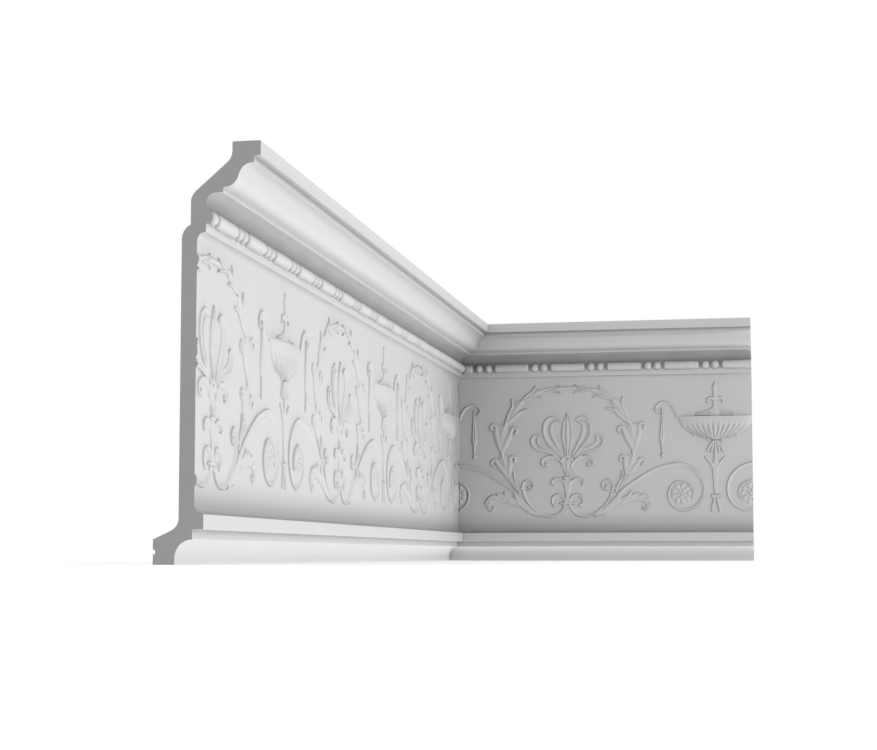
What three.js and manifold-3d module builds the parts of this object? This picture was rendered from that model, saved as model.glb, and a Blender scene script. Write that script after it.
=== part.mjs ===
import * as THREE from 'three';
import { mergeVertices } from 'three/addons/utils/BufferGeometryUtils.js';
import Module from 'manifold-3d';

// Inside corner of a moulded frieze cornice: a long and a short length of one section, mitred where the
// two walls meet. Millimetres, Z up. Each length is drawn with X to the right along its wall, Y into the
// wall and Z up, and is then turned to its own wall.

// Lengths, from the corner of the walls to each square cut
const LONG_RUN = 1000;
const SHORT_RUN = 378;
const MITRE_GAP = 0.3;

// Section, bottom to top: depths are measured out from the wall, heights up from the foot
const HEIGHT = 280;
const FOOT_DEPTH = 15;
const CAVETTO_START = 4.6;
const CAVETTO_RADIUS = 12;
const RECESS_TOP = 23.3;
const BAND_DEPTH = 34.5;
const BAND_TOP = 33.2;
const LOWER_COVE_RADIUS = 6.3;
const FRIEZE_DEPTH = BAND_DEPTH - LOWER_COVE_RADIUS;
const FRIEZE_BOTTOM = BAND_TOP + LOWER_COVE_RADIUS;
const FRIEZE_TOP = 214;
const UPPER_COVE_RADIUS = 6;
const FILLET_DEPTH = FRIEZE_DEPTH + UPPER_COVE_RADIUS;
const SOFFIT_HEIGHT = 246.2;
const SOFFIT_COVE_RADIUS = 7;
const CYMA_BOTTOM = 249.5;
const CYMA_INNER = 46;
const CYMA_OUTER = 67;
const CYMA_TOP = 265.5;
const TOP_BAND_BOTTOM = 270;
const TOP_DEPTH = 71.5;

// Back of the section: the moulding is a shell, with a foot on the wall and a flange under the ceiling
const FLANGE_BACK = { depth: 52, bottom: 274 };
const SLOPE_BACK = { topDepth: 48.2, top: 265.9, footDepth: 26.6, foot: 247.4 };
const CORNICE_BACK = { depth: 23.6, top: 240.7, bottom: 225.4 };
const FRIEZE_BACK = { depth: 17.5, top: 215, bottom: 30 };
const SPLAY_BACK = { depth: 11.9, height: 22.2 };
const FOOT_BACK_TOP = 16.7;
const BACK_ROUND = 3;
const GLUE_GROOVE_HEIGHT = 8.4;
const GLUE_GROOVE_RADIUS = 1.8;
const CURVE_STEPS = 3;

// Bead-and-reel row: two round beads, then one long reel
const BEAD_PERIOD = 67.6;
const BEAD_RADIUS = 5;
const BEAD_NOSE = 3;
const BEAD_SPACING = 11.4;
const REEL_LENGTH = 42.5;
const REEL_RADIUS = 4.7;
const REEL_NOSE = 3;
const ASTRAGAL_HEIGHT = 230.4;
const ASTRAGAL_SIDES = 6;

// Frieze ornament: palmette and urn axes take turns, and every half is the mirror image of the next
const HALF_REPEAT = 175;
const RELIEF_SINK = 0.8;
const STROKE_RISE = 1.6;
const LOW_RISE = 1.1;
const BOSS_RISE = 1.8;
const BOWL_RISE = 2.4;

// Where the pattern stands on each length, measured from the left end of its wall
const LONG_PHASE = { palmette: 34.7, beads: 4.4 };
const SHORT_PHASE = { palmette: 160.26, beads: 60.2 };

const wasm = await Module();
wasm.setup();

const degrees = THREE.MathUtils.degToRad;

function solidOf(geometry) {
  const bare = geometry.clone();
  bare.deleteAttribute('normal');
  bare.deleteAttribute('uv');
  const merged = mergeVertices(bare, 1e-4);
  return new wasm.Manifold(new wasm.Mesh({
    numProp: 3,
    vertProperties: new Float32Array(merged.attributes.position.array),
    triVerts: new Uint32Array(merged.index.array),
  }));
}

function geometryOf(solid) {
  const mesh = solid.getMesh();
  const geometry = new THREE.BufferGeometry();
  geometry.setAttribute('position', new THREE.BufferAttribute(mesh.vertProperties, 3));
  geometry.setIndex(new THREE.BufferAttribute(mesh.triVerts, 1));
  geometry.computeVertexNormals();
  return geometry;
}

// The section with x as depth from the wall and y as height
function sectionShape() {
  const quarter = Math.PI / 2;
  const shape = new THREE.Shape();
  shape.moveTo(0, 0);
  shape.lineTo(FOOT_DEPTH, 0);
  const recessDepth = FOOT_DEPTH + CAVETTO_RADIUS;
  shape.absarc(recessDepth, CAVETTO_START, CAVETTO_RADIUS, 2 * quarter, quarter, true);
  shape.lineTo(recessDepth, RECESS_TOP);
  shape.lineTo(BAND_DEPTH, RECESS_TOP);
  shape.absarc(BAND_DEPTH, FRIEZE_BOTTOM, LOWER_COVE_RADIUS, -quarter, -2 * quarter, true);
  shape.absarc(FILLET_DEPTH, FRIEZE_TOP, UPPER_COVE_RADIUS, 2 * quarter, quarter, true);
  const coveDepth = FILLET_DEPTH + SOFFIT_COVE_RADIUS;
  const coveFoot = SOFFIT_HEIGHT - SOFFIT_COVE_RADIUS;
  shape.absarc(coveDepth, coveFoot, SOFFIT_COVE_RADIUS, 2 * quarter, quarter, true);
  shape.lineTo(CYMA_INNER, SOFFIT_HEIGHT);
  shape.lineTo(CYMA_INNER, CYMA_BOTTOM);
  const cymaMiddle = (CYMA_INNER + CYMA_OUTER) / 2;
  shape.bezierCurveTo(cymaMiddle, CYMA_BOTTOM, cymaMiddle, CYMA_TOP, CYMA_OUTER, CYMA_TOP);
  shape.lineTo(CYMA_OUTER, TOP_BAND_BOTTOM);
  shape.lineTo(TOP_DEPTH, TOP_BAND_BOTTOM);
  shape.lineTo(TOP_DEPTH, HEIGHT);
  backOfSection(shape, quarter);
  return shape;
}

// Down the back: flange, slope behind the cyma, upright behind the frieze, splay to the foot, glue groove
function backOfSection(shape, quarter) {
  const { depth: flange } = FLANGE_BACK;
  shape.lineTo(flange, HEIGHT);
  shape.lineTo(flange, FLANGE_BACK.bottom);
  shape.quadraticCurveTo(flange, SLOPE_BACK.top + BACK_ROUND, SLOPE_BACK.topDepth, SLOPE_BACK.top);
  shape.lineTo(SLOPE_BACK.footDepth, SLOPE_BACK.foot);
  const { depth: cornice } = CORNICE_BACK;
  shape.quadraticCurveTo(cornice, SLOPE_BACK.foot - BACK_ROUND, cornice, CORNICE_BACK.top);
  shape.lineTo(cornice, CORNICE_BACK.bottom);
  const { depth: frieze } = FRIEZE_BACK;
  shape.quadraticCurveTo(frieze, CORNICE_BACK.bottom - BACK_ROUND, frieze, FRIEZE_BACK.top);
  shape.lineTo(frieze, FRIEZE_BACK.bottom);
  shape.quadraticCurveTo(frieze, SPLAY_BACK.height + BACK_ROUND, SPLAY_BACK.depth, SPLAY_BACK.height);
  shape.lineTo(0, FOOT_BACK_TOP);
  shape.absarc(0, GLUE_GROOVE_HEIGHT, GLUE_GROOVE_RADIUS, quarter, -quarter, true);
  shape.closePath();
}

// The plain moulding from x = 0 to x = run
function plainLength(run) {
  const geometry = new THREE.ExtrudeGeometry(sectionShape(), {
    depth: run,
    bevelEnabled: false,
    curveSegments: CURVE_STEPS,
  });
  const outward = new THREE.Vector3(0, -1, 0);
  const up = new THREE.Vector3(0, 0, 1);
  const leftward = new THREE.Vector3(-1, 0, 0);
  geometry.applyMatrix4(new THREE.Matrix4().makeBasis(outward, up, leftward));
  geometry.translate(run, 0, 0);
  return solidOf(geometry);
}

// Puts relief drawn in the plane of the frieze, with z as its rise, on the frieze
function ontoFrieze(geometry) {
  const right = new THREE.Vector3(1, 0, 0);
  const up = new THREE.Vector3(0, 0, 1);
  const outward = new THREE.Vector3(0, -1, 0);
  geometry.applyMatrix4(new THREE.Matrix4().makeBasis(right, up, outward));
  geometry.translate(0, -FRIEZE_DEPTH, 0);
  return geometry;
}

// Value at t of numbers given at even steps from the start of a stroke to its end
function along(values, t) {
  const place = t * (values.length - 1);
  const step = Math.min(Math.floor(place), values.length - 2);
  return THREE.MathUtils.lerp(values[step], values[step + 1], place - step);
}

// A carved stroke: a roof-shaped bar bent along a curve, with its eaves on the ground and its base below.
// Tails carry the two edges past the end of the crest, as at the mouth of a husk.
function strokeGeometry({ path, wide, steps, rise = STROKE_RISE, tails = 0 }) {
  const curve = new THREE.CatmullRomCurve3(path.map(([u, v]) => new THREE.Vector3(u, v, 0)));
  const corners = [[0, rise], [1, 0], [1, -RELIEF_SINK], [-1, -RELIEF_SINK], [-1, 0]];
  const middle = [0, 0];
  const geometry = new THREE.CylinderGeometry(1, 1, 1, corners.length, steps);
  const position = geometry.attributes.position;
  for (let i = 0; i < position.count; i += 1) {
    const [x, z] = [position.getX(i), position.getZ(i)];
    const turn = Math.atan2(x, z) / (2 * Math.PI) + 1;
    const corner = corners[Math.round(turn * corners.length) % corners.length];
    const [across, height] = Math.hypot(x, z) > 0.5 ? corner : middle;
    const t = THREE.MathUtils.clamp(position.getY(i) + 0.5, 0, 1);
    const tangent = curve.getTangentAt(t);
    const side = across * along(wide, t);
    const ahead = t === 1 ? Math.abs(across) * tails : 0;
    const point = curve.getPointAt(t).addScaledVector(tangent, ahead);
    position.setXYZ(i, point.x + tangent.y * side, point.y - tangent.x * side, height);
  }
  return geometry;
}

// A rosette: a flat pyramid whose outline goes in and out once for every petal
function rosetteGeometry({ at, radius, petals, rise }) {
  const geometry = new THREE.SphereGeometry(1, 2 * petals, 2);
  geometry.rotateX(Math.PI / 2);
  const position = geometry.attributes.position;
  for (let i = 0; i < position.count; i += 1) {
    const [x, y, z] = [position.getX(i), position.getY(i), position.getZ(i)];
    const out = radius * (0.85 + 0.15 * Math.cos(petals * Math.atan2(y, x)));
    position.setXYZ(i, at[0] + out * x, at[1] + out * y, rise * z);
  }
  return geometry;
}

// A gadrooned bowl: a slab whose face is pleated from the rim down to a narrow foot, with its edges
// on the ground
function bowlGeometry({ at, rimHalf, beltHalf, footHalf, depth, pleats, rise }) {
  const geometry = new THREE.BoxGeometry(2, 2, 1, 2 * pleats, 2, 1);
  const position = geometry.attributes.position;
  for (let i = 0; i < position.count; i += 1) {
    const across = position.getX(i);
    const down = (1 - position.getY(i)) / 2;
    const half = along([rimHalf, beltHalf, footHalf], down);
    const fall = along([0, 0.55, 1], down) * depth * (1 - 0.3 * across * across);
    const crest = 0.65 - 0.35 * Math.cos(Math.PI * pleats * (across + 1));
    const edge = Math.abs(across) > 0.999 || down > 0.999;
    const face = edge ? 0 : rise * crest;
    position.setXYZ(i, at[0] + half * across, at[1] - fall, position.getZ(i) > 0 ? face : -RELIEF_SINK);
  }
  return geometry;
}

// Points of a volute about a centre, from one angle and radius to another
function volute(centre, from, to, points, bend = 1) {
  const list = [];
  for (let i = 0; i <= points; i += 1) {
    const f = i / points;
    const angle = degrees(THREE.MathUtils.lerp(from.angle, to.angle, f));
    const radius = to.radius + (from.radius - to.radius) * (1 - f) ** bend;
    list.push([centre[0] + radius * Math.cos(angle), centre[1] + radius * Math.sin(angle)]);
  }
  return list;
}

// Palmette: half of its curled petals, in pairs from the inner to the drooping outer one
function palmettePetals() {
  return [
    {
      path: [[5, 124], [21, 140], [27, 155], [23.5, 167.5], [11, 168.5]],
      wide: [1, 3, 3.4, 1.4],
      steps: 6,
    },
    { path: [[6, 127], [14.5, 142], [18.5, 160]], wide: [0.8, 3, 1], steps: 2, rise: LOW_RISE },
    {
      path: [[8, 119.5], [22, 130], [36, 133.5], [42, 142], [34, 148.5]],
      wide: [1, 2.6, 2.8, 1.4],
      steps: 6,
    },
    { path: [[5, 112], [11, 120.5], [22, 123], [29.5, 119], [25, 114]], wide: [1.6, 2.2, 2], steps: 5 },
    { path: [[3, 87], [7, 95], [14, 96.5], [18, 92]], wide: [1.5, 2.6, 1.3], steps: 3 },
  ];
}

// Palmette: what stands on its axis, from the rod of the wreath down to the tie of the scrolls
function palmetteAxis() {
  return [
    { path: [[-10, 205.6], [10, 205.6]], wide: [1.8, 1.8], steps: 1 },
    { path: [[0, 121], [0, 175.5]], wide: [1, 7, 5.5, 0.5], steps: 3 },
    { path: [[0, 100], [0, 120]], wide: [3, 9], steps: 1 },
    { path: [[0, 66], [0, 92]], wide: [2.3, 6], steps: 1 },
    { path: [[-8, 67.5], [8, 67.5]], wide: [1.8, 1.8], steps: 1 },
  ];
}

// Stem under the palmette: a volute beside the tie, a swag below and a volute under the wreath
function lowerScroll() {
  const inner = volute([11.3, 70], { angle: -48, radius: 6.2 }, { angle: 180, radius: 7.8 }, 5);
  const swag = [[8, 58.2], [18, 53.4], [28, 54.3], [38, 60], [47, 69.5]];
  const outer = volute([47, 89], { angle: -15, radius: 6.7 }, { angle: 250, radius: 4.6 }, 6);
  return [{ path: [...inner, ...swag, ...outer], wide: [2, 2.2, 1.6], steps: 18 }];
}

// Large scroll from the sheath over and round the rosette
function upperScroll(rosette) {
  const stem = [[61, 79], [74, 89], [90, 99.3], [106, 107.6]];
  const turn = volute(rosette, { angle: 101, radius: 34.7 }, { angle: -180, radius: 15.5 }, 10, 1.35);
  return [
    { path: [...stem, ...turn], wide: [1.4, 2.2, 1.4], steps: 17 },
    { at: rosette, radius: 13.4, petals: 8, rise: BOSS_RISE },
  ];
}

// Sheath where stem, leaf and wreath part, with the acanthus leaf that turns down beside it
function sheathAndLeaf() {
  return [
    {
      path: [[34, 53], [46, 60], [56, 69], [63, 81]],
      wide: [0.8, 3.4, 4.4, 2],
      steps: 4,
      rise: BOSS_RISE,
    },
    { path: [[58, 66], [72, 74], [88, 74.5], [96, 67], [92, 60]], wide: [3, 5, 4.4, 1.8], steps: 5 },
    { path: [[66, 71], [78, 82]], wide: [4, 2], steps: 1, rise: LOW_RISE },
  ];
}

// Wreath: bell-shaped husks climbing to the rod above the palmette, each on a stalk out of the one below
function wreath() {
  const husks = [
    { base: [57.5, 84], mouth: [75, 117], reach: 13.5, tails: 4.5 },
    { base: [79, 134], mouth: [76, 156], reach: 14.5, tails: 3 },
    { base: [71, 167.5], mouth: [57.5, 184], reach: 10, tails: 4.5 },
    { base: [51, 192], mouth: [36, 199.5], reach: 7.5, tails: 3 },
    { base: [27, 203.7], mouth: [11, 205], reach: 5.5, tails: 2.7 },
  ];
  return husks.map(({ base, mouth, reach, tails }, i) => {
    const stalk = i > 0 ? [husks[i - 1].mouth] : [];
    const bell = [0.3 * reach, 0.45 * reach, reach];
    return { path: [...stalk, base, mouth], wide: [1.2, ...bell], steps: 3 + stalk.length, tails };
  });
}

// Handle of the urn with the husk drop that hangs from its curl
function handleAndDrop() {
  return [
    { path: [[130, 168], [127.5, 177], [121, 184.5], [112, 186], [106, 178]], wide: [2, 2, 2.4], steps: 5 },
    { path: [[112.5, 182], [112.3, 142]], wide: [0.9, 3.6], steps: 1 },
    { path: [[112.6, 143], [112.9, 122]], wide: [1.4, 2], steps: 1 },
  ];
}

// Urn on its own axis: bud, lid, rim, gadrooned bowl, fluted foot and leafy trunk
function urnAxis() {
  const axis = HALF_REPEAT;
  const mirrored = [1, -1].flatMap((side) => [
    {
      path: [[axis, 186], [axis + 4.5 * side, 191], [axis + 8.5 * side, 187.5]],
      wide: [1.2, 1.8, 1.2],
      steps: 2,
    },
    { path: [[axis + 1.5 * side, 141], [axis + 6 * side, 128.5]], wide: [1.5, 3.2], steps: 1 },
    { path: [[axis + 2 * side, 106], [axis + 11.5 * side, 121.5]], wide: [2.4, 1.2], steps: 1 },
    { path: [[axis + side, 78], [axis + 4.4 * side, 58.5]], wide: [1.6, 2], steps: 1 },
  ]);
  return [
    { path: [[axis, 195], [axis, 210]], wide: [1.4, 3.6, 0.8], steps: 2 },
    { path: [[axis, 197], [axis, 174]], wide: [1.4, 2.6, 9], steps: 2 },
    { path: [[axis - 25, 173.4], [axis + 25, 173.4]], wide: [1, 2.6, 1], steps: 2, rise: LOW_RISE },
    { path: [[axis - 44, 167.5], [axis + 44, 167.5]], wide: [3, 3], steps: 1, rise: BOSS_RISE },
    { at: [axis, 166.5], rimHalf: 41, beltHalf: 27, footHalf: 5, depth: 26, pleats: 6, rise: BOWL_RISE },
    { path: [[axis, 130], [axis, 76]], wide: [2.6, 4.4, 2.2], steps: 2 },
    ...mirrored,
  ];
}

// One half of the repeat, between a palmette axis at u = 0 and an urn axis
function halfOrnament() {
  const rosette = [134.8, 79];
  return [
    ...palmettePetals(),
    ...lowerScroll(),
    ...upperScroll(rosette),
    ...sheathAndLeaf(),
    ...wreath(),
    ...handleAndDrop(),
  ];
}

// Moves an item to a palmette axis, turned to the right or mirrored to the left of it
function placed(item, axis, side) {
  const move = ([u, v]) => [axis + side * u, v];
  return item.path ? { ...item, path: item.path.map(move) } : { ...item, at: move(item.at) };
}

// The shape that an item's sizes ask for
function itemGeometry(item) {
  if (item.path) return strokeGeometry(item);
  return item.petals ? rosetteGeometry(item) : bowlGeometry(item);
}

// All ornament of a length, repeated over its whole run
function friezeItems(run, firstPalmette) {
  const repeat = 2 * HALF_REPEAT;
  const items = [];
  for (let axis = firstPalmette - repeat; axis < run + repeat; axis += repeat) {
    const right = [...palmetteAxis(), ...halfOrnament(), ...urnAxis()];
    items.push(...right.map((item) => placed(item, axis, 1)));
    items.push(...halfOrnament().map((item) => placed(item, axis, -1)));
  }
  const margin = 8;
  const near = ([u]) => u > -margin && u < run + margin;
  return items.filter((item) => (item.path ? item.path.some(near) : near(item.at)));
}

// A bead or reel: a turned body lying along the length, half of it sunk in the fillet
function turnedGeometry(halfLength, radius, nose) {
  const shoulder = halfLength - nose;
  const profile = [[0, -halfLength], [radius, -shoulder], [radius, shoulder], [0, halfLength]];
  const points = profile.map(([r, x]) => new THREE.Vector2(r, x));
  const geometry = new THREE.LatheGeometry(points, ASTRAGAL_SIDES);
  geometry.rotateZ(-Math.PI / 2);
  geometry.translate(0, -FILLET_DEPTH, ASTRAGAL_HEIGHT);
  return geometry;
}

// The row of beads and reels over the whole run
function astragalGeometries(run, firstPair) {
  const row = [];
  for (let pair = firstPair - BEAD_PERIOD; pair < run + BEAD_PERIOD; pair += BEAD_PERIOD) {
    for (const side of [-1, 1]) {
      const bead = turnedGeometry(BEAD_RADIUS, BEAD_RADIUS, BEAD_NOSE);
      row.push(bead.translate(pair + (side * BEAD_SPACING) / 2, 0, 0));
    }
    const reel = turnedGeometry(REEL_LENGTH / 2, REEL_RADIUS, REEL_NOSE);
    row.push(reel.translate(pair + BEAD_PERIOD / 2, 0, 0));
  }
  return row;
}

// The space that a length fills, cut square at its free end and at 45 degrees at its corner end
function lengthEnvelope(run, cornerAtRight) {
  const reach = TOP_DEPTH + 10;
  const setBack = (MITRE_GAP / 2) * Math.SQRT2;
  const plan = cornerAtRight
    ? [[0, 1], [run - setBack + 1, 1], [run - setBack - reach, -reach], [0, -reach]]
    : [[setBack - 1, 1], [run, 1], [run, -reach], [setBack + reach, -reach]];
  const shape = new THREE.Shape(plan.map(([x, y]) => new THREE.Vector2(x, y)));
  const geometry = new THREE.ExtrudeGeometry(shape, { depth: HEIGHT + 2, bevelEnabled: false });
  geometry.translate(0, 0, -1);
  return solidOf(geometry);
}

// A finished length: plain moulding, astragal and frieze ornament in one piece, cut at both ends
function mouldingLength(run, cornerAtRight, phase) {
  const relief = friezeItems(run, phase.palmette).map((item) => {
    return ontoFrieze(itemGeometry(item));
  });
  const astragal = astragalGeometries(run, phase.beads);
  let solid = plainLength(run);
  for (const geometry of [...astragal, ...relief]) {
    solid = solid.add(solidOf(geometry));
  }
  return geometryOf(solid.intersect(lengthEnvelope(run, cornerAtRight)));
}

const whitePaint = new THREE.MeshStandardMaterial({ color: 0xe9e7e3, roughness: 0.75, metalness: 0 });

const longLength = new THREE.Mesh(mouldingLength(LONG_RUN, true, LONG_PHASE), whitePaint);
longLength.name = 'long_length';
longLength.rotation.z = Math.PI / 2;

const shortLength = new THREE.Mesh(mouldingLength(SHORT_RUN, false, SHORT_PHASE), whitePaint.clone());
shortLength.name = 'short_length';
shortLength.position.y = LONG_RUN;

// The origin lies under the middle of the corner's box, with the long wall along Y and the short along X
const corner = new THREE.Group();
corner.position.set(-SHORT_RUN / 2, -LONG_RUN / 2, 0);
corner.add(longLength, shortLength);

const part = new THREE.Group();
part.add(corner);

export default part;
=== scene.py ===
"""Inside corner of a white frieze cornice: two mitred lengths with carved relief on a pale floor."""

import bmesh
import bpy
import numpy as np
from mathutils import Matrix, Vector
from mathutils.geometry import delaunay_2d_cdt


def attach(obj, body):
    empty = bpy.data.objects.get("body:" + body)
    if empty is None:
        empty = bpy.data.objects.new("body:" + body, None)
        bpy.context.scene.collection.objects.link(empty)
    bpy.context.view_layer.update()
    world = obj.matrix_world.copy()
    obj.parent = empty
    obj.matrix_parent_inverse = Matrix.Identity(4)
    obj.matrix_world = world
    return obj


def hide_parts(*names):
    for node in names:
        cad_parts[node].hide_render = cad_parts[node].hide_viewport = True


MM = 0.001

# Lengths, from the corner of the walls to each square cut, in millimetres
LONG_RUN = 1000.0
SHORT_RUN = 378.0
MITRE_GAP = 0.3
PLAN_CENTRE = (SHORT_RUN / 2, LONG_RUN / 2)
OVERRUN = 4.0

# Section: depths out from the wall and heights up from the foot
HEIGHT = 280.0
FOOT_DEPTH = 15.0
CAVETTO_CENTRE = (27.0, 4.6)
CAVETTO_RADIUS = 12.0
RECESS_TOP = 23.3
BAND_DEPTH = 34.5
BAND_TOP = 33.2
LOWER_COVE = 6.3
FRIEZE_DEPTH = BAND_DEPTH - LOWER_COVE
FRIEZE_BOTTOM = BAND_TOP + LOWER_COVE
FRIEZE_TOP = 214.0
UPPER_COVE = 6.0
FILLET_DEPTH = FRIEZE_DEPTH + UPPER_COVE
SOFFIT_HEIGHT = 246.2
SOFFIT_COVE = 7.0
CYMA_BOTTOM = (46.0, 249.5)
CYMA_TOP = (67.0, 265.5)
CYMA_PULL = 2.2
TOP_BAND_BOTTOM = 270.0
TOP_DEPTH = 71.5
CORNER_SOFTNESS = 0.5
CORNER_SHARE = 0.45

# Back of the section: depths of its flange, shoulder and hollow, and the wall seat with its glue groove
FLANGE_BACK = 52.0
SHOULDER_BACK = 23.6
HOLLOW_BACK = 17.5
WALL_SEAT_TOP = 16.7
GLUE_GROOVE_HEIGHT = 8.4
GLUE_GROOVE_RADIUS = 1.8

# Bead-and-reel row
BEAD_PERIOD = 67.6
BEAD_RADIUS = 5.2
BEAD_SPACING = 11.2
REEL_HALF = 21.3
REEL_RADIUS = 5.1
REEL_NOSE = 3.2
ROW_CORE = 0.6
ROW_HEIGHT = 230.4
ROW_HALF_BAND = 5.8

# Samples over the bead row, with its seat and edges as shares of the half turn past its sides
BALL_STEPS = 12
BALL_REACH = 0.998 * BEAD_RADIUS
NOSE_STEPS = 5
NOSE_START = 0.02
REEL_STEPS = 6
ROUND_STEPS = 13
SEAT_TURN = 0.12
SEAT_MARGIN = 0.4
EDGE_TURN = 0.3
ROW_STRETCH = 15.0
SPARE_REPEATS = 3
ROW_END_MARGIN = 1.0

# Frieze pattern: half its repeat, where it starts on each length, and the heights of its strokes
HALF_REPEAT = 175.0
LONG_PHASE = {"palmette": 34.7, "beads": 4.4}
SHORT_PHASE = {"palmette": 160.26, "beads": 60.2}
STROKE_RISE = 1.6
LOW_RISE = 1.1
BOSS_RISE = 1.8

# Samples over the frieze, with the lines over a stroke's back as shares of its half-width
SAMPLE_STEP = 1.8
COLUMN_STEP = 12.5
GROUND_START = (6.0, 46.0)
GROUND_STEP = 11.0
RIM_ROWS = 141
POINT_CELL = 0.4
EDGE_OUTSIDE = 0.35
EDGE_INSIDE = 0.15
BACK_LINES = (0.76, 0.42)
CAP_LINE = 0.6
CAP_STEPS = 14

# Rosette
ROSETTE = (134.8, 79.0)
ROSETTE_RADIUS = 12.6
ROSETTE_DOME = 0.7
OUTER_PETALS = {"count": 9, "middle": 8.7, "length": 3.9, "width": 2.9}
INNER_PETALS = {"count": 5, "middle": 3.9, "length": 2.3, "width": 2.2}
INNER_TURN = 0.4
BUTTON_RADIUS = 1.9
BUTTON_RISE = 1.2 * BOSS_RISE
HEART_RINGS = np.linspace(0.4, 5.8, 7)
HEART_AROUND = 30
PETAL_RINGS = np.linspace(6.4, ROSETTE_RADIUS + EDGE_OUTSIDE, 9)
PETALS_AROUND = 72

# Hooked tips of the husks, with angles in degrees and the rest as shares of the hook's radius
HOOK_TURNS = (165.0, -75.0)
HOOK_POINTS = 7
HOOK_CLOSING = 0.7
HOOK_SET_IN = 0.6

# Bowl of the urn, with its outline's samples and the groove's fading edge as shares of its half-width
URN_AXIS = HALF_REPEAT
BOWL_RIM = 170.0
BOWL_BELT = 162.0
BOWL_FOOT = 142.0
BOWL_FULLEST = 149.0
BOWL_LOBES = 13
BOWL_RISE = 6.5
RIM_RISE = 5.0
LOBE_GROOVE = 1.3
LOBE_FULLNESS = 0.6
GROOVE_RUN_OUT = 3.0
GROOVE_EDGE = 0.15
RIM_BAND = 2.0
FOOT_LIP = 1.0
BOWL_OUTLINE = (-1.02, -0.995)
BOWL_ROWS = 13
HALF_LOBE_STEPS = 4

# Merging and cutting distances in millimetres, and the angle from which an edge is sharp
SHARP_ANGLE = np.radians(32.0)
SLIVER = 0.001
TOUCHING = 1e-5
ON_THE_CUT = 0.01

# Finishes by number, and the shares of painted shade that darken the primer in creases and hollows, where
# shade falls
PRIMED = 0
CAST = 1
SAWN = 2
CREASE_SHADE_REACH = 0.25
CREASE_PAINTED_SHADE = 0.31
# Painted shade in the hollow over the bead row and in the nook under the top band: place, reach and share
ROW_NOOK_SHADE = {"place": (FILLET_DEPTH, ROW_HEIGHT + ROW_HALF_BAND), "reach": 13.0, "share": 1.0}
BAND_NOOK_SHADE = {"place": (CYMA_TOP[0], TOP_BAND_BOTTOM), "reach": 5.0, "share": 0.5}
# Painted shade in the seat of the bead row, where shade falls between the beads and their fillet
SEAT_SHADE_REACH = 3.2
ROW_MIDDLE_PAINTED_SHADE = 0.7
# Painted shade in the lower cove, fading up the frieze and out over the band's ledge
FOOT_PAINTED_SHADE = 0.57
FOOT_SHADE_FADE = 20.0
FOOT_SHADE_FADE_POWER = 1.5
LEDGE_SHADE_REACH = 2.0

# Camera fitted to the picture, whose sides are given in pixels
IMAGE_WIDTH = 877.0
IMAGE_HEIGHT = 750.0
FOCAL_PIXELS = 1726.83
AXIS_ROW = 420.0
CAMERA_YAW = np.radians(-10.934)
CAMERA_PITCH = np.radians(4.4819)
CAMERA_PLACE = (400.0, -1081.08, 6.25)
SENSOR_WIDTH = 36.0
CLIP_RANGE = (0.01, 200.0)

# Studio light: an even share from all round, and soft lights by azimuth, height and strength
AMBIENT = 0.25
LIGHT_FOCUS = 8.0
FACING_SHORT = (267.0, 3.0, 1.39)
FACING_LONG = (336.0, 0.0, 1.15)
ABOVE_LONG = (5.0, 25.0, 1.25)
PAST_CORNER = (40.0, 0.0, 0.85)
UNDERNEATH = (90.0, -75.0, 3.2)
UNDER_CORNER = (90.0, -50.0, 0.75)
BEHIND = (135.0, 35.0, 1.5)
FLOOR_GLOW = 0.55
FLOOR_REACH = 30.0


def arc(centre, radius, start, end, steps):
    """Points on a circle about a centre, from one angle to another in degrees."""
    turn = np.radians(np.linspace(start, end, steps + 1))
    return np.stack([centre[0] + radius * np.cos(turn), centre[1] + radius * np.sin(turn)], 1)


def bend(start, pull, end, steps=4):
    """A quadratic curve from start to end that leaves and arrives towards the pull point."""
    t = np.linspace(0, 1, steps + 1)[:, None]
    start, pull, end = (np.array(p, float) for p in (start, pull, end))
    return (1 - t) ** 2 * start + 2 * t * (1 - t) * pull + t**2 * end


def softened(line, radius=CORNER_SOFTNESS, least_turn=25.0):
    """The line with each sharp corner replaced by three points of a small round."""
    before = line[:-2] - line[1:-1]
    after = line[2:] - line[1:-1]
    reach_before = np.linalg.norm(before, axis=1, keepdims=True)
    reach_after = np.linalg.norm(after, axis=1, keepdims=True)
    straight = -(before * after).sum(1) / (reach_before * reach_after)[:, 0]
    sharp = straight < np.cos(np.radians(least_turn))
    first = line[1:-1] + before / reach_before * np.minimum(radius, CORNER_SHARE * reach_before)
    last = line[1:-1] + after / reach_after * np.minimum(radius, CORNER_SHARE * reach_after)
    middle = np.where(sharp[:, None], (first + last) / 4 + line[1:-1] / 2, line[1:-1])
    triples = np.stack([first, middle, last], 1)
    kept = np.stack([sharp, np.ones_like(sharp), sharp], 1)
    return np.concatenate([line[:1], triples[kept], line[-1:]])


def upper_front():
    """Section from the bead row up over cove, soffit, cyma and top band to the ceiling face."""
    cove_centre = (FILLET_DEPTH + SOFFIT_COVE, SOFFIT_HEIGHT - SOFFIT_COVE)
    cyma_middle = (CYMA_BOTTOM[0] + CYMA_TOP[0]) / 2
    cyma_centre = (cyma_middle, (CYMA_BOTTOM[1] + CYMA_TOP[1]) / 2)
    lower_half = bend(CYMA_BOTTOM, (cyma_middle - CYMA_PULL, CYMA_BOTTOM[1]), cyma_centre, 7)
    upper_half = bend(cyma_centre, (cyma_middle + CYMA_PULL, CYMA_TOP[1]), CYMA_TOP, 7)
    return np.concatenate([
        [(FILLET_DEPTH, ROW_HEIGHT + ROW_HALF_BAND)],
        arc(cove_centre, SOFFIT_COVE, 180, 90, 8),
        [(CYMA_BOTTOM[0], SOFFIT_HEIGHT)],
        lower_half[:-1],
        upper_half,
        [(CYMA_TOP[0], TOP_BAND_BOTTOM), (TOP_DEPTH, TOP_BAND_BOTTOM), (TOP_DEPTH, HEIGHT)],
    ])


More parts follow.
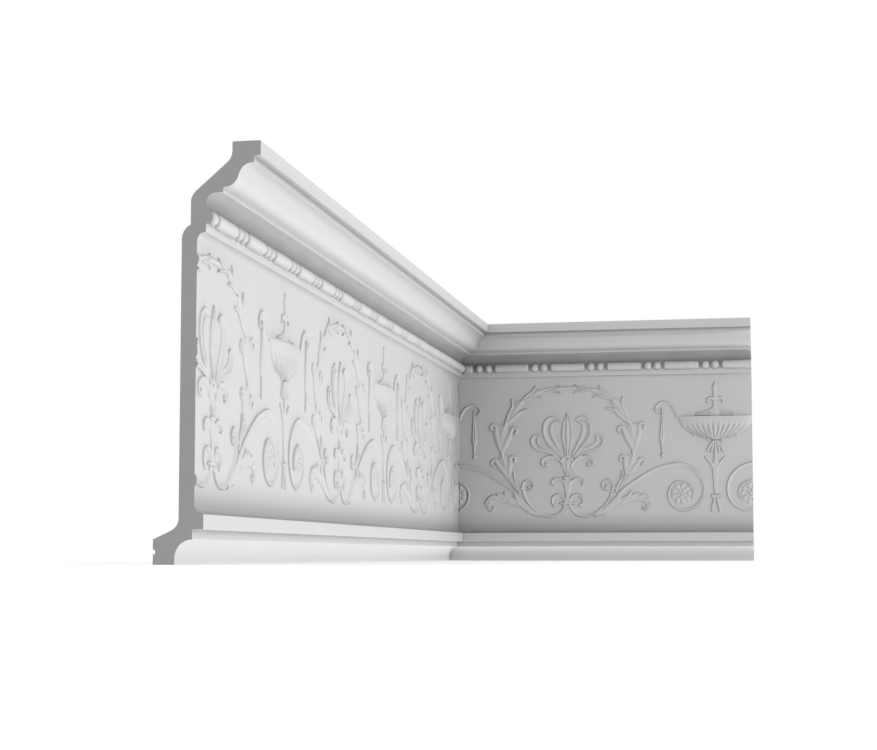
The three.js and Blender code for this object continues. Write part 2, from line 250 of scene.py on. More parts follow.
def back():
    """Section down the back: flange, slope, upright behind the frieze, splay, glue groove and foot."""
    return np.concatenate([
        [(FLANGE_BACK, HEIGHT)],
        bend((FLANGE_BACK, 274.0), (FLANGE_BACK, 268.9), (48.2, 265.9)),
        bend((26.6, 247.4), (SHOULDER_BACK, 244.4), (SHOULDER_BACK, 240.7)),
        bend((SHOULDER_BACK, 225.4), (HOLLOW_BACK, 222.4), (HOLLOW_BACK, 215.0)),
        bend((HOLLOW_BACK, 30.0), (HOLLOW_BACK, 25.2), (11.9, 22.2)),
        [(0.0, WALL_SEAT_TOP)],
        arc((0.0, GLUE_GROOVE_HEIGHT), GLUE_GROOVE_RADIUS, 90, -90, 6),
        [(0.0, 0.0)],
    ])


def lower_front():
    """Section up the front of the foot: underside edge, cavetto, band and cove to the frieze."""
    return np.concatenate([
        [(FOOT_DEPTH, 0.0)],
        arc(CAVETTO_CENTRE, CAVETTO_RADIUS, 180, 90, 9),
        [(CAVETTO_CENTRE[0], RECESS_TOP), (BAND_DEPTH, RECESS_TOP)],
        arc((BAND_DEPTH, FRIEZE_BOTTOM), LOWER_COVE, 270, 180, 6),
    ])


def under_row():
    """Section from the top of the frieze through the small cove to the bead row."""
    return np.concatenate([
        arc((FILLET_DEPTH, FRIEZE_TOP), UPPER_COVE, 180, 90, 6),
        [(FILLET_DEPTH, ROW_HEIGHT - ROW_HALF_BAND)],
    ])


def smooth_path(points, steps=24):
    """A Catmull-Rom curve through the points, even in its number of steps between each two."""
    p = np.array(points, float)
    p = np.concatenate([[2 * p[0] - p[1]], p, [2 * p[-1] - p[-2]]])
    t = np.arange(steps)[None, :, None] / steps
    a, b, c, d = (p[i:len(p) - 3 + i, None, :] for i in range(4))
    curve = b + 0.5 * t * (c - a + t * (2 * a - 5 * b + 4 * c - d + t * (3 * (b - c) + d - a)))
    return np.concatenate([curve.reshape(-1, 2), p[-2:-1]])


def resampled(line, step):
    """The line again, with points an even step apart and the share of the way along at each."""
    reach = np.concatenate([[0], np.cumsum(np.linalg.norm(np.diff(line, axis=0), axis=1))])
    share = np.linspace(0, 1, max(int(np.ceil(reach[-1] / step)), 2) + 1)
    place = share * reach[-1]
    return np.stack([np.interp(place, reach, line[:, i]) for i in (0, 1)], 1), share


def round_bar(x):
    """Half an ellipse across the stroke."""
    return np.sqrt(np.clip(1 - x * x, 0, 1))


def channelled(x):
    """Half an ellipse with a shallow channel along its crest."""
    return round_bar(x) * (0.74 + 0.5 * np.minimum(np.abs(x), 0.6))


def ribbed(x):
    """A rib down the middle and a raised rim along both edges, with a hollow between them."""
    rib = 0.95 * round_bar(np.clip(x / 0.42, -1, 1))
    rim = 0.8 * round_bar(np.clip((np.abs(x) - 0.78) / 0.22, -1, 1))
    return np.maximum(np.maximum(rib, rim), 0.34 * round_bar(x) ** 0.5)


def veined(x):
    """A swelling leaf with a narrow vein cut down its middle."""
    return round_bar(x) * (1 - 0.5 * np.exp(-((x / 0.2) ** 2)))


def steep_left(x):
    """A rounded brow near the left edge of the path, that falls away in a long slope to the right."""
    brow = 0.5
    outer = round_bar(np.clip((x - brow) / (1 - brow), 0, 1))
    inner = 0.5 + 0.5 * np.cos(np.pi * np.clip((brow - x) / (1 + brow), 0, 1))
    return np.where(x > brow, outer, inner)


def steep_right(x):
    """The same with the brow near the right edge."""
    return steep_left(-x)


def stroke(path, wide, rise=STROKE_RISE, form=round_bar):
    """One carved bar: a smooth path, half-widths at even shares of it, a height and a cross-section."""
    line, share = resampled(smooth_path(path), SAMPLE_STEP)
    half = np.interp(share, np.linspace(0, 1, len(wide)), wide)
    return {"line": line, "half": half, "rise": rise, "form": form}


def bead(centre, radius, rise=BOSS_RISE):
    """A round boss, as a stroke too short to show its length."""
    u, v = centre
    return stroke([(u - 0.1, v), (u + 0.1, v)], [radius, radius], rise)


def volute(centre, angles, radii, points, ease=1.0):
    """Points round a centre whose angle runs evenly and whose radius eases from the first to the last."""
    f = np.linspace(0, 1, points + 1)
    turn = np.radians(angles[0] + (angles[1] - angles[0]) * f)
    out = radii[1] + (radii[0] - radii[1]) * (1 - f) ** ease
    return list(zip(centre[0] + out * np.cos(turn), centre[1] + out * np.sin(turn)))


def palmette():
    """Ribbed lancet petal, two curled petals with an inner fold each, a drooping volute and the stem."""
    tall_petal = [
        (5, 122), (14, 132.5), (21.5, 141), (26, 150), (27, 158), (24.5, 166), (17.5, 170.3), (11, 167.5),
    ]
    tall_fold = [(6, 125), (12.5, 138), (17, 147), (19.5, 155), (18, 163), (13.5, 165.5)]
    low_petal = [
        (8, 119), (16, 127), (25, 131), (34, 133), (40, 137), (42.3, 143), (39.5, 148.5), (34.5, 148),
    ]
    low_fold = [(9, 123), (17, 130.5), (25, 134), (32, 137.5), (35.8, 142.5), (35, 146.5)]
    volute_leaf = [(5, 113), (10, 119.5), (17, 122.8), (24, 123), (29.5, 119.5), (29.5, 114.5), (25.5, 113)]
    stem_leaf = [(2.5, 87), (5, 93), (10, 96.6), (15.5, 96.3), (18.8, 93), (17.2, 90.8)]
    return [
        stroke([(0, 121), (0, 140), (0, 175.5)], [1, 4.6, 7.4, 6, 0.4], form=ribbed),
        stroke(tall_petal, [1.2, 2.6, 3.2, 3.2, 2.8, 1.6], form=steep_right),
        stroke(tall_fold, [1, 2.2, 2.6, 2.4, 1.4], LOW_RISE),
        stroke(low_petal, [1.2, 2.4, 2.8, 2.6, 1.5], form=steep_right),
        stroke(low_fold, [1, 2, 2.2, 1.3], LOW_RISE),
        stroke(volute_leaf, [1.6, 2.1, 2.3, 1.8], form=steep_left),
        bead((25.2, 115), 2.1),
        stroke([(0, 99), (0, 108), (0, 117)], [2.2, 4.4, 8.6], form=ribbed),
        stroke([(-4.5, 98.5), (4.5, 98.5)], [1.5, 1.5]),
        stroke(stem_leaf, [1.6, 2.4, 2.2, 1.2], form=steep_left),
        stroke([(0, 68), (0, 78), (0, 93)], [2.4, 2.8, 5.6], form=channelled),
        stroke([(-8.5, 68), (8.5, 68)], [1.5, 1.5]),
        stroke([(-5, 64.5), (5, 64.5)], [1.4, 1.4]),
    ]


def lower_scroll():
    """Stem that coils beside the tie, swags below the palmette and coils again under the wreath."""
    inner = volute((11.5, 70.8), (-48, 180), (6.2, 7.6), 9)
    fall = [(4.4, 64), (8, 58.4), (13, 55), (20, 53.3)]
    climb = [(28, 54.3), (34.5, 57.7), (41, 62.9), (46.8, 69.6), (50.8, 77)]
    outer = volute((47, 89), (-20, 270), (6.8, 4.4), 10)
    return [
        stroke(inner + fall + climb + outer, [1.8, 2.2, 2.2, 2, 1.5], form=steep_right),
        bead((15.3, 65.6), 2.4),
        bead((46.6, 87.6), 2.2),
        bead((56, 86), 1.7),
    ]


def upper_scroll():
    """Stem with a sharp outer edge that rises from the sheath and winds round the rosette."""
    stem = [(61, 79), (74, 89), (90, 99.3), (106, 107.6)]
    turn = volute(ROSETTE, (101, -180), (34.7, 14.6), 18, 1.42)
    ring = volute(ROSETTE, (-180, -380), (14.6, 13), 10)
    return [stroke(stem + turn + ring[1:], [1.8, 2.6, 2.9, 2.7, 2.3, 1.9, 1.6, 1.4], form=steep_left)]


def sheath_and_leaf():
    """Sheath where the stems part, its bracts, and the lobed leaf that turns down beside it."""
    sheath = [(33, 52.5), (45, 59.5), (55, 68), (61, 76), (64, 82)]
    leaf = [(58, 66), (70, 72.5), (82, 74.5), (91.5, 72), (96, 65.5), (92.5, 60), (89.5, 63)]
    lobes = [
        [(68, 71), (73, 77), (76, 81.8)],
        [(76, 74), (81, 78.5), (85, 79.5)],
        [(85, 74.5), (90, 77), (95, 75)],
        [(92, 71), (96.5, 72), (99, 67.5)],
    ]
    return [
        stroke(sheath, [0.8, 3, 4.6, 4, 1.6], BOSS_RISE, channelled),
        stroke([(49, 64), (46.5, 60), (44.5, 55.5)], [1.8, 2.2, 0.8]),
        stroke([(39, 61), (36.5, 57), (33, 53)], [1.4, 1.8, 0.7]),
        stroke(leaf, [2.5, 4.6, 4.8, 4.2, 3, 2.2, 1.6], form=veined),
        *[stroke(lobe, [2, 2.5, 1.3]) for lobe in lobes],
    ]


def hooked(tip, out, ahead, radius):
    """Points of a tip that rises on its inner side and turns over to its outer side in a closing round."""
    turn = np.radians(np.linspace(*HOOK_TURNS, HOOK_POINTS))[:, None]
    reach = radius * np.linspace(1.0, HOOK_CLOSING, HOOK_POINTS)[:, None]
    return tip - HOOK_SET_IN * radius * out + reach * (np.cos(turn) * out + np.sin(turn) * ahead)


def husk(base, mouth, tips, hook=0.0):
    """A bell full to its mouth, with a rib and a leaf up each side that ends in its tip or hooks over."""
    base, mouth, tips = (np.array(p, float) for p in (base, mouth, tips))
    axis = mouth - base
    ahead = axis / np.linalg.norm(axis)
    size = np.linalg.norm(tips[1] - tips[0]) / 2
    middle = [base, base + 0.5 * axis, mouth]
    leaves = [
        stroke(middle, size * np.array([0.14, 0.42, 0.48]), LOW_RISE),
        stroke(middle, size * np.array([0.14, 0.22, 0.14]), form=veined),
    ]
    for tip in tips:
        side = tip - base - ahead * ((tip - base) @ ahead)
        out = side / np.linalg.norm(side)
        end = hooked(tip, out, ahead, hook) if hook else tip[None]
        foot = [base + 0.1 * side, base + 0.42 * axis + 0.32 * side, base + 0.8 * axis + 0.56 * side]
        leaves.append(stroke([*foot, *end], size * np.array([0.12, 0.25, 0.22, 0.14, 0.11])))
    return leaves


def wreath():
    """Husks that climb from the sheath to the rod over the palmette, knotted where one leaves the next."""
    husks = [
        husk((57.5, 81), (70.5, 101), [(64.8, 105.8), (76.3, 102.6)]),
        husk((71.5, 101.5), (77, 121), [(63.5, 121.5), (91, 116)], 4.0),
        husk((79.5, 132), (78, 157), [(61.5, 155), (92, 159.5)], 4.0),
        husk((73.5, 165), (58, 187), [(47.5, 181), (66.5, 193.5)]),
        husk((53.5, 192.5), (35, 202), [(31, 195), (38.5, 208.8)]),
        husk((28.5, 204), (9, 205), [(8, 199.8), (9, 209.8)]),
    ]
    stalks = [
        [(75.5, 116), (78.5, 125), (79.5, 133)],
        [(78, 154), (75.5, 161), (73, 167)],
        [(60, 184), (56, 189), (52.5, 193.5)],
        [(37, 201), (32, 203), (27, 204)],
    ]
    knots = [(79, 129), (74.5, 163.5), (55, 190.5), (30.5, 203.4)]
    return [
        *[leaf for leaves in husks for leaf in leaves],
        *[stroke(path, [1.6, 2, 1.6]) for path in stalks],
        *[bead(centre, 2.5) for centre in knots],
        stroke([(-9, 206), (9, 206)], [2, 2]),
    ]


def handle_and_drop():
    """Looped handle of the urn, and the husk that hangs from its curl on a beaded cord."""
    loop = [(130, 169.5), (127.5, 177), (122.5, 183.3), (116, 186.3), (110, 185.3), (106.3, 181)]
    curl = [(106.3, 176.8), (109.5, 175.3)]
    return [
        stroke(loop + curl, [2, 2, 2.2, 2, 1.5], form=steep_right),
        bead((107.3, 177), 2.2),
        stroke([(113, 180), (113.3, 170)], [0.9, 1.2]),
        stroke([(113.3, 172), (113, 156), (112.5, 142.5)], [1.2, 2.5, 3.7], form=veined),
        stroke([(112.6, 143), (113, 128)], [2, 1.5, 1.3]),
        bead((112.8, 124), 2.3),
    ]


def urn():
    """Bud, side curls, lid, rim, fluted foot, arms, trunk and legs of the urn, on its axis."""
    a = URN_AXIS
    lid = [(a, 187), (a - 1.2, 181), (a - 5, 177), (a - 12, 174.8), (a - 21.5, 173.6)]
    return [
        stroke([(a, 197), (a, 203), (a, 209)], [2.2, 3.5, 1.4]),
        stroke([(a, 199), (a, 190)], [2.2, 2.6]),
        stroke([(a, 187.5), (a - 4.5, 191.2), (a - 8.5, 190), (a - 9, 186.8)], [1.4, 2.1, 1.8, 1.1]),
        bead((a, 187.2), 2.2),
        stroke(lid, [1.6, 2, 2, 1.5, 0.8]),
        stroke([(a, 186), (a, 179), (a, 174)], [1.8, 3, 7]),
        stroke([(a - 22, 171.8), (a, 172.4), (a + 22, 171.8)], [1.2, 2.2, 1.2], LOW_RISE),
        stroke([(a, 141), (a, 134), (a, 128)], [1.2, 1.5, 1.9]),
        stroke([(a - 1.8, 140.5), (a - 3, 134.5), (a - 4.6, 128.5)], [1.1, 1.5, 1.7]),
        stroke([(a - 3, 140.5), (a - 6, 135), (a - 9.2, 129.8)], [1.1, 1.6, 1.8]),
        stroke([(a, 128), (a, 113)], [1.7, 2]),
        stroke([(a - 3.5, 111), (a - 7, 117), (a - 11.7, 121.8)], [2, 1.9, 1.2]),
        stroke([(a, 114), (a, 100), (a, 80)], [4.8, 4, 3.1, 2.4], form=channelled),
        bead((a - 4, 76), 2.3),
        stroke([(a - 1, 76), (a - 3, 67), (a - 4.4, 59)], [1.5, 1.8, 2]),
    ]


def bowl_half_width(v):
    """Half-width of the urn's bowl at a height."""
    heights = (BOWL_FOOT, 143.5, 145.5, 148.5, 152.5, 157.0, BOWL_BELT, BOWL_RIM)
    return np.interp(v, heights, (4.0, 9.0, 17.0, 25.0, 32.5, 38.0, 41.5, 43.5))


def bowl_height(points):
    """Half an ellipse about the urn's axis, fullest low down, with grooves between lobes under a plain rim.

    The grooves run out towards the rim and the outline, and the whole is rounded off at the foot.
    """
    v = points[:, 1]
    across = np.clip((points[:, 0] - URN_AXIS) / bowl_half_width(v), -1, 1)
    lobe = np.abs(np.cos(np.pi * BOWL_LOBES * across / 2)) ** LOBE_FULLNESS
    groove = LOBE_GROOVE * np.clip((BOWL_BELT - v) / GROOVE_RUN_OUT, 0, 1)
    groove = groove * np.clip((1 - np.abs(across)) / GROOVE_EDGE, 0, 1)
    rounding = np.clip((v - BOWL_FOOT + FOOT_LIP) / (BOWL_FULLEST - BOWL_FOOT), 0, 1) ** 0.5
    rise = rounding * np.interp(v, (BOWL_FULLEST, BOWL_RIM), (BOWL_RISE, RIM_RISE))
    inside = (v > BOWL_FOOT) & (v < BOWL_RIM)
    swell = rise * (1 - across**2) ** 0.5 - groove * rounding * (1 - lobe)
    return np.where(inside, np.maximum(swell, 0), 0)


def bowl_points():
    """Samples on and between the lobes of the bowl's left half, and just outside its outline."""
    across = np.linspace(-1, 0, HALF_LOBE_STEPS * BOWL_LOBES + 1)
    across = np.concatenate([BOWL_OUTLINE, across[1:]])
    under = np.linspace(BOWL_FOOT + POINT_CELL, BOWL_BELT, BOWL_ROWS)
    over = [BOWL_BELT + GROOVE_RUN_OUT, BOWL_RIM - RIM_BAND]
    edge = [BOWL_RIM - EDGE_INSIDE, BOWL_RIM + EDGE_OUTSIDE]
    across, v = np.meshgrid(across, np.concatenate([under, over, edge]))
    return np.stack([URN_AXIS + bowl_half_width(v) * across, v], -1).reshape(-1, 2)


def petal_ring(out, turn, count, middle, length, width):
    """Domes set round a circle of a middle radius, each an ellipse longer outwards than across."""
    step = 2 * np.pi / count
    aside = middle * (np.mod(turn + step / 2, step) - step / 2)
    return np.sqrt(np.clip(1 - ((out - middle) / length) ** 2 - (aside / width) ** 2, 0, 1))


def rosette_height(points):
    """The highest of nine petals, five inside them, a button in the middle and a low dome."""
    offset = points - np.array(ROSETTE)
    out = np.linalg.norm(offset, axis=1)
    turn = np.arctan2(offset[:, 1], offset[:, 0])
    dome = ROSETTE_DOME * round_bar(out / ROSETTE_RADIUS)
    outer = STROKE_RISE * petal_ring(out, turn, **OUTER_PETALS)
    inner = BOSS_RISE * petal_ring(out, turn + INNER_TURN, **INNER_PETALS)
    button = BUTTON_RISE * round_bar(out / BUTTON_RADIUS)
    return np.maximum.reduce([dome, outer, inner, button])


def rosette_points():
    """Samples on rings about the rosette's heart, more of them further out."""
    places = []
    for count, radii in ((HEART_AROUND, HEART_RINGS), (PETALS_AROUND, PETAL_RINGS)):
        turn, out = np.meshgrid(np.linspace(0, 2 * np.pi, count, endpoint=False), radii)
        places.append(np.stack([out * np.cos(turn), out * np.sin(turn)], -1).reshape(-1, 2))
    return np.concatenate(places) + ROSETTE


def half_ornament():
    """Every stroke between a palmette axis and the urn axis beside it."""
    return [
        *palmette(),
        *lower_scroll(),
        *upper_scroll(),
        *sheath_and_leaf(),
        *wreath(),
        *handle_and_drop(),
        *urn(),
    ]


def stroke_height(points, bar):
    """Height of one stroke, and how far inside its edge each point lies.

    The height is the cross-section at the distance from the line in half-widths, above 0 on its left.
    """
    line, half = bar["line"], bar["half"]
    margin = half.max()
    near = np.all((points > line.min(0) - margin) & (points < line.max(0) + margin), axis=1)
    height = np.zeros(len(points))
    inset = np.full(len(points), -1.0)
    if not near.any():
        return height, inset
    start, way = line[:-1], np.diff(line, axis=0)
    gap = points[near][:, None, :] - start[None]
    share = np.clip((gap * way).sum(2) / (way * way).sum(1), 0, 1)
    off = np.linalg.norm(gap - share[..., None] * way, axis=2)
    side = np.where(way[:, 0] * gap[..., 1] < way[:, 1] * gap[..., 0], -1, 1)
    wide = half[:-1] + share * np.diff(half)
    ratio = np.minimum(off / wide, 1)
    best = ratio.argmin(1)
    rows = np.arange(len(best))
    across = side[rows, best] * ratio[rows, best]
    height[near] = np.where(np.abs(across) < 1, bar["rise"] * bar["form"](across), 0)
    inset[near] = (wide - off)[rows, best]
    return height, inset


def folded_height(points, bars):
    """Height of the frieze, the highest of all strokes and mirror images, and the painted shade in the
    crease at their feet.
    """
    total = np.zeros(len(points))
    inset = np.full(len(points), -1.0)
    for flip, shift in ((1, 0), (-1, 0), (-1, 2 * HALF_REPEAT)):
        seen = points * (flip, 1) + (shift, 0)
        for bar in bars:
            height, depth = stroke_height(seen, bar)
            total = np.maximum(total, height)
            inset = np.maximum(inset, depth)
        for boss in (bowl_height(seen), rosette_height(seen)):
            total = np.maximum(total, boss)
            inset = np.where(boss > 0, 1, inset)
    # Painted shade: a thin dark band just inside every stroke's edge, where shade falls at its foot
    return total, CREASE_PAINTED_SHADE * ((inset > 0) & (inset < CREASE_SHADE_REACH))


def stroke_points(bar):
    """Samples along a stroke: just outside and inside both its edges, and on lines over its back."""
    line, half = bar["line"], bar["half"][:, None]
    way = np.gradient(line, axis=0)
    way = way / np.linalg.norm(way, axis=1, keepdims=True)
    side = np.stack([way[:, 1], -way[:, 0]], 1)
    reach = np.concatenate([half + EDGE_OUTSIDE, half - EDGE_INSIDE, half * BACK_LINES], 1)
    reach = np.concatenate([reach, -reach, 0 * half], 1)
    return (line[:, None] + side[:, None] * reach[..., None]).reshape(-1, 2)


def cap_points(bar):
    """Samples on rings about both ends of a stroke, from just outside its edge inwards."""
    turn = np.linspace(0, 2 * np.pi, CAP_STEPS, endpoint=False)
    ring = np.stack([np.cos(turn), np.sin(turn)], 1)
    half = bar["half"][[0, -1], None]
    reach = np.concatenate([half + EDGE_OUTSIDE, half - EDGE_INSIDE, CAP_LINE * half], 1)
    return (bar["line"][[0, -1], None, None] + reach[..., None, None] * ring).reshape(-1, 2)


def frieze_tile():
    """Triangles of half a repeat: samples on every stroke, joined up over the whole rectangle."""
    bars = half_ornament()
    carved = [sampled(bar) for sampled in (stroke_points, cap_points) for bar in bars]
    across = np.arange(GROUND_START[0], HALF_REPEAT, GROUND_STEP)
    up = np.arange(GROUND_START[1], FRIEZE_TOP, GROUND_STEP)
    ground = np.stack(np.meshgrid(across, up), -1).reshape(-1, 2)
    inner = np.concatenate([bowl_points(), rosette_points(), *carved, ground])
    inside = (inner[:, 0] > POINT_CELL) & (inner[:, 0] < HALF_REPEAT - POINT_CELL)
    inside &= (inner[:, 1] > FRIEZE_BOTTOM + POINT_CELL) & (inner[:, 1] < FRIEZE_TOP - POINT_CELL)
    inner = inner[inside]
    cells = np.unique(np.round(inner / POINT_CELL).astype(int), axis=0, return_index=True)[1]
    inner = inner[np.sort(cells)]
    columns = np.linspace(0, HALF_REPEAT, int(HALF_REPEAT / COLUMN_STEP) + 1)
    rows = np.linspace(FRIEZE_BOTTOM, FRIEZE_TOP, RIM_ROWS)
    rim = [np.stack([columns, np.full_like(columns, v)], 1) for v in (FRIEZE_BOTTOM, FRIEZE_TOP)]
    rim += [np.stack([np.full_like(rows[1:-1], u), rows[1:-1]], 1) for u in (0, HALF_REPEAT)]
    flat, faces = triangulated(np.concatenate([*rim, inner]))
    return flat, *folded_height(flat, bars), faces


def triangulated(points):
    """Delaunay triangles over a convex cloud of points, counter-clockwise."""
    made = delaunay_2d_cdt([Vector(p) for p in points.tolist()], [], [], 0, TOUCHING)
    return np.array([tuple(p) for p in made[0]]), np.array(made[2])


def frieze_panel(tile, phase, first, last):
    """The frieze from one half repeat to another: the tile, turned over for every second half."""
    flat, height, crease_shade, faces = tile
    places, triangles = [], []
    for number in range(first, last):
        turned = number % 2 != 0
        along = HALF_REPEAT - flat[:, 0] if turned else flat[:, 0]
        start = phase["palmette"] + number * HALF_REPEAT
        places.append(np.stack([start + along, FRIEZE_DEPTH + height, flat[:, 1]], 1))
        triangles.append((faces[:, ::-1] if turned else faces) + len(flat) * len(triangles))
    return np.concatenate(places), np.concatenate(triangles), np.tile(crease_shade, last - first)


def row_radius(s):
    """Radius of the bead row: two balls, then a long reel with rounded ends, over a thin core."""
    x = np.mod(s + BEAD_PERIOD / 2, BEAD_PERIOD) - BEAD_PERIOD / 2
    ball = np.sqrt(np.clip(BEAD_RADIUS**2 - (np.abs(x) - BEAD_SPACING / 2) ** 2, 0, None))
    end = (BEAD_PERIOD / 2 - np.abs(x) - REEL_HALF + REEL_NOSE) / REEL_NOSE
    reel = REEL_RADIUS * np.sqrt(np.clip(1 - np.clip(end, 0, None) ** 2, 0, 1))
    return np.maximum(np.maximum(ball, reel), ROW_CORE)


def row_stations(phase, start, end):
    """Places along the row, close together at the ends of each ball and reel."""
    ball = BALL_REACH * np.cos(np.linspace(np.pi, 0, BALL_STEPS))
    nose = REEL_HALF - REEL_NOSE * (1 - np.sin(np.linspace(NOSE_START, np.pi / 2, NOSE_STEPS)))
    reel = np.concatenate([-nose[::-1], np.linspace(-nose[0], nose[0], REEL_STEPS)[1:-1], nose])
    cell = np.concatenate([
        ball - BEAD_SPACING / 2,
        ball + BEAD_SPACING / 2,
        reel + BEAD_PERIOD / 2,
    ])
    counts = np.arange(-SPARE_REPEATS, int((end - start) / BEAD_PERIOD) + 2 * SPARE_REPEATS)
    stations = np.sort((phase["beads"] + counts[:, None] * BEAD_PERIOD + cell[None]).ravel())
    return stations[(stations > start + ROW_END_MARGIN) & (stations < end - ROW_END_MARGIN)]


def bead_row(phase, columns):
    """The row as a half-round of changing radius on its fillet, joined to the columns at both edges."""
    stations = row_stations(phase, columns[0], columns[-1])
    stations = np.concatenate([columns[:1], stations, columns[-1:]])
    turns = np.concatenate([[-SEAT_TURN], np.linspace(0, 1, ROUND_STEPS), [1 + SEAT_TURN]])
    s, q = np.meshgrid(stations, turns)
    grid = np.stack([s, q], -1).reshape(-1, 2)
    edges = [np.stack([columns, np.full_like(columns, q)], 1) for q in (-EDGE_TURN, 1 + EDGE_TURN)]
    flat, faces = triangulated(np.concatenate([*edges, grid]) * (1, ROW_STRETCH))
    s, q = flat[:, 0], flat[:, 1] / ROW_STRETCH
    radius = row_radius(s - phase["beads"])
    turn = np.pi * np.clip(q, 0, 1)
    depth = FILLET_DEPTH + radius * np.sin(turn)
    height = ROW_HEIGHT - radius * np.cos(turn)
    outside = np.abs(q - 0.5) - 0.5
    margin = np.interp(outside, (SEAT_TURN, EDGE_TURN), (ROW_HALF_BAND - SEAT_MARGIN, ROW_HALF_BAND))
    height = np.where(outside > SEAT_TURN / 2, ROW_HEIGHT + np.sign(q - 0.5) * margin, height)
    return np.stack([s, depth, height], 1), faces


def swept(line, columns):
    """A section line carried along the length, as a grid of quads."""
    rows = len(line)
    s = np.repeat(columns, rows)
    depth, height = np.tile(line, (len(columns), 1)).T
    corner = (np.arange(len(columns) - 1)[:, None] * rows + np.arange(rows - 1)[None]).ravel()
    quads = np.stack([corner, corner + rows, corner + rows + 1, corner + 1], 1)
    return np.stack([s, depth, height], 1), quads


def nook_painted_shade(places):
    """Painted shade over the bead row and under the top band: full in each nook, less with distance."""
    total = np.zeros(len(places))
    for nook in (ROW_NOOK_SHADE, BAND_NOOK_SHADE):
        away = np.linalg.norm(places[:, 1:] - nook["place"], axis=1)
        total = np.maximum(total, nook["share"] * np.clip(1 - away / nook["reach"], 0, 1))
    return total


def row_painted_shade(places):
    """Painted shade on the bead row: on its fillet, not on the crests, and fading from its upper edge down.
    """
    seat = np.clip(1 - (places[:, 1] - FILLET_DEPTH) / SEAT_SHADE_REACH, 0, 1)
    levels = (-ROW_HALF_BAND, 0, ROW_HALF_BAND)
    return seat * np.interp(places[:, 2] - ROW_HEIGHT, levels, (0, ROW_MIDDLE_PAINTED_SHADE, 1))


def foot_painted_shade(places):
    """Painted shade at the frieze's foot: strongest in the cove, fading up the frieze and out over the
    band.
    """
    fade = np.clip(1 - (places[:, 2] - FRIEZE_BOTTOM) / FOOT_SHADE_FADE, 0, 1) ** FOOT_SHADE_FADE_POWER
    ledge = np.clip((BAND_DEPTH - places[:, 1]) / LEDGE_SHADE_REACH, 0, 1)
    return FOOT_PAINTED_SHADE * fade * ledge * (places[:, 2] > BAND_TOP)


def no_painted_shade(places):
    """No painted shade at any place."""
    return np.zeros(len(places))


def with_painted_shade(surface, finish, painted_shade):
    """A surface's places and faces, with its finish and the painted shade at each place."""
    return *surface, finish, painted_shade(surface[0])


def mesh_parts(tile, run, phase):
    """All surfaces of a length, longer than its run at both ends, with the finish and painted shade of
    each.
    """
    first = int(np.floor((-OVERRUN - phase["palmette"]) / HALF_REPEAT))
    last = int(np.ceil((run + OVERRUN - phase["palmette"]) / HALF_REPEAT))
    steps = int(HALF_REPEAT / COLUMN_STEP) * (last - first)
    columns = phase["palmette"] + np.linspace(first, last, steps + 1) * HALF_REPEAT
    front = softened(np.concatenate([upper_front(), back()[:1]]))
    rear = softened(np.concatenate([front[-1:], back()[1:]]))
    foot = softened(np.concatenate([rear[-1:], lower_front()]))
    panel, triangles, crease_shade = frieze_panel(tile, phase, first, last)
    # Painted shade rides on each surface: in the creases and at the foot of the frieze, in the bead row's
    # seat, in the nooks of the front
    return [
        (panel, triangles, PRIMED, np.maximum(crease_shade, foot_painted_shade(panel))),
        with_painted_shade(bead_row(phase, columns), PRIMED, row_painted_shade),
        with_painted_shade(swept(under_row(), columns), PRIMED, no_painted_shade),
        with_painted_shade(swept(front, columns), PRIMED, nook_painted_shade),
        with_painted_shade(swept(rear, columns), CAST, no_painted_shade),
        with_painted_shade(swept(foot, columns), PRIMED, foot_painted_shade),
    ]


def joined_mesh(name, parts):
    """One mesh of several surfaces, with the finish of each face and the painted shade of each point."""
    places = np.concatenate([part[0] for part in parts])
    faces, finishes, offset = [], [], 0
    for points, corners, finish, _ in parts:
        faces += (corners + offset).tolist()
        finishes += [finish] * len(corners)
        offset += len(points)
    mesh = bpy.data.meshes.new(name)
    mesh.from_pydata(places.tolist(), [], faces)
    mesh.polygons.foreach_set("material_index", finishes)
    # Painted shade of every point, by which the primer darkens its colour
    painted_shade = mesh.attributes.new("painted_shade", "FLOAT", "POINT")
    painted_shade.data.foreach_set("value", np.concatenate([part[3] for part in parts]))
    return mesh


def cut_end(shape, place, outward, finish):
    """Saws the shape off at a plane and closes the cut with flat faces of their own finish."""
    everything = shape.verts[:] + shape.edges[:] + shape.faces[:]
    plane = {"plane_co": place, "plane_no": outward}
    bmesh.ops.bisect_plane(shape, geom=everything, dist=TOUCHING, clear_outer=True, **plane)
    bmesh.ops.remove_doubles(shape, verts=shape.verts[:], dist=SLIVER)
    bmesh.ops.dissolve_degenerate(shape, edges=shape.edges[:], dist=SLIVER / 10)
    rim = [edge for edge in shape.edges if edge.is_boundary]
    rim = [edge for edge in rim if all(abs((end.co - place) @ outward) < ON_THE_CUT for end in edge.verts)]
    filled = bmesh.ops.triangle_fill(
        shape, use_beauty=True, use_dissolve=False, edges=rim, normal=outward,
    )
    for item in filled["geom"]:
        if isinstance(item, bmesh.types.BMFace):
            item.material_index = finish


